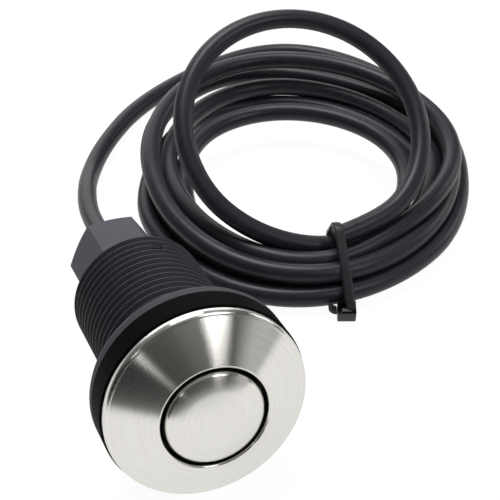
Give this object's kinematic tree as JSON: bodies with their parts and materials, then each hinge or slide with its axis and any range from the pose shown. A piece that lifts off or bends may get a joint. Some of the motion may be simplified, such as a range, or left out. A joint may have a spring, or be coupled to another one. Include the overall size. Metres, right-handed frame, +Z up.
{
  "type": "sink top air switch",
  "caption": "Threaded round air switch for a sink top: cone bezel, sprung push button, gland nut and a coiled, tied air hose.",
  "frame": {"origin": "on the floor, at the middle of the box of the switch without its hose, which lies on its side", "axes": "+Z up, the button faces -Y and tilts up by 9.8 degrees, +X is towards the coiled hose"},
  "size_m": [0.147, 0.1877, 0.0539],
  "materials": {
    "brushed_stainless": "circular brushed stainless steel",
    "acetal_white": "moulded natural acetal",
    "acetal_black": "moulded black acetal",
    "moulded_black": "moulded black plastic, satin",
    "nut_black": "moulded black plastic, dry and slightly grey",
    "washer_rubber": "cut EPDM sheet",
    "seal_rubber": "moulded rubber",
    "spring_steel": "drawn spring wire",
    "hose_pvc": "extruded soft PVC, satin sheen",
    "tie_nylon": "moulded nylon"
  },
  "bodies": {
    "switch": {"bezel": "brushed_stainless", "guide_ring": "acetal_black", "wiper_seal": "seal_rubber", "body": "moulded_black", "sink_washer": "washer_rubber", "base_plug": "acetal_black", "base_seal": "seal_rubber", "bellows": "seal_rubber", "bellows_clip": "spring_steel", "spring_seat": "spring_steel", "return_spring": "spring_steel", "gland_nut": "nut_black", "gland_seal": "seal_rubber", "gland_washer": "acetal_white", "gland_collet": "acetal_white", "hose": "hose_pvc", "hose_coil": "hose_pvc", "cable_tie": "tie_nylon"},
    "button": {"button_cap": "brushed_stainless", "button_plunger": "acetal_white"}
  },
  "joints": [
    {"name": "button_press", "type": "slide", "parent": "switch", "child": "button", "axis": [0, 0.9853, -0.1708], "range_m": [0, 0.0035], "stiffness_N_per_m": 1200, "springref_m": -0.002, "deforming": ["return_spring", "bellows"]}
  ]
}
